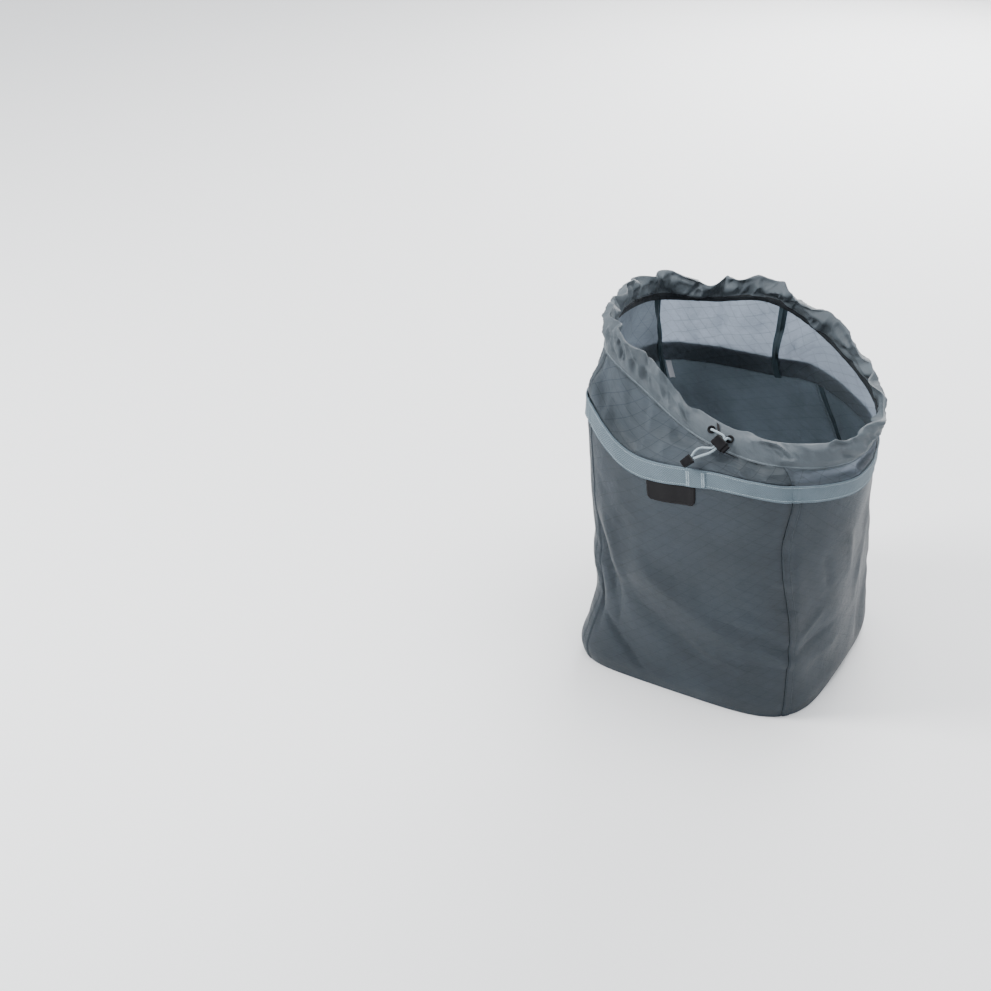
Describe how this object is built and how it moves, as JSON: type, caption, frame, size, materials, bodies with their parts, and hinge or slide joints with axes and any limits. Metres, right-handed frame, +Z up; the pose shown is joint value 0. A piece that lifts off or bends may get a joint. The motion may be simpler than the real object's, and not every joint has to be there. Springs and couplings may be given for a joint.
{
  "type": "laundry bag",
  "caption": "Free-standing square fabric laundry bag with a webbing rim, a thin collar, a gathered drawcord casing and a push-button cord lock.",
  "frame": {"origin": "middle of the base's underside, on the floor the bag stands on", "axes": "+Z up, the front panel with the patch and cord lock faces -Y, the bag's right side faces +X"},
  "size_m": [0.3941, 0.3564, 0.5007],
  "materials": {
    "body_ripstop": "coated ripstop",
    "base_ripstop": "coated ripstop",
    "collar_ripstop": "thin translucent ripstop",
    "casing_fabric": "plain weave, gathered",
    "webbing": "twill webbing",
    "binding_tape": "folded tape",
    "black_rubber": "matt moulded",
    "label_satin": "satin",
    "cord": "braided",
    "black_plastic": "fine moulded grain",
    "spring_steel": "drawn wire",
    "black_tape": "woven tape"
  },
  "bodies": {
    "bag": {"base_panel": "base_ripstop", "base_binding": "binding_tape", "body_front_panel": "body_ripstop", "body_right_panel": "body_ripstop", "body_back_panel": "body_ripstop", "body_left_panel": "body_ripstop", "collar_front_panel": "collar_ripstop", "collar_right_panel": "collar_ripstop", "collar_back_panel": "collar_ripstop", "collar_left_panel": "collar_ripstop", "body_tape_front_left": "binding_tape", "body_tape_front_right": "binding_tape", "body_tape_back_right": "binding_tape", "body_tape_back_left": "binding_tape", "collar_tape_front_left": "binding_tape", "collar_tape_front_right": "binding_tape", "collar_tape_back_right": "binding_tape", "collar_tape_back_left": "binding_tape", "rim_webbing": "webbing", "drawcord_casing": "casing_fabric", "front_patch": "black_rubber", "care_label": "label_satin", "eyelet_left": "black_plastic", "eyelet_right": "black_plastic", "draw_cord": "cord", "cord_tail_left": "cord", "cord_tail_right": "cord", "cord_lock_body": "black_plastic", "cord_lock_spring": "spring_steel", "lock_tether": "black_tape"},
    "lock_button": {"cord_lock_button": "black_plastic"},
    "cord_pull": {"cord_end": "black_plastic"}
  },
  "joints": [
    {"name": "button_press", "type": "slide", "parent": "bag", "child": "lock_button", "axis": [-0.8704, 0.3313, 0.3642], "range_m": [0, 0.003], "stiffness_N_per_m": 300, "springref_m": -0.002, "deforming": ["cord_lock_spring"]},
    {"name": "cord_end_pull", "type": "slide", "parent": "bag", "child": "cord_pull", "axis": [-0.6079, -0.5753, -0.5473], "range_m": [0, 0.03], "deforming": ["cord_tail_left", "cord_tail_right"]}
  ]
}
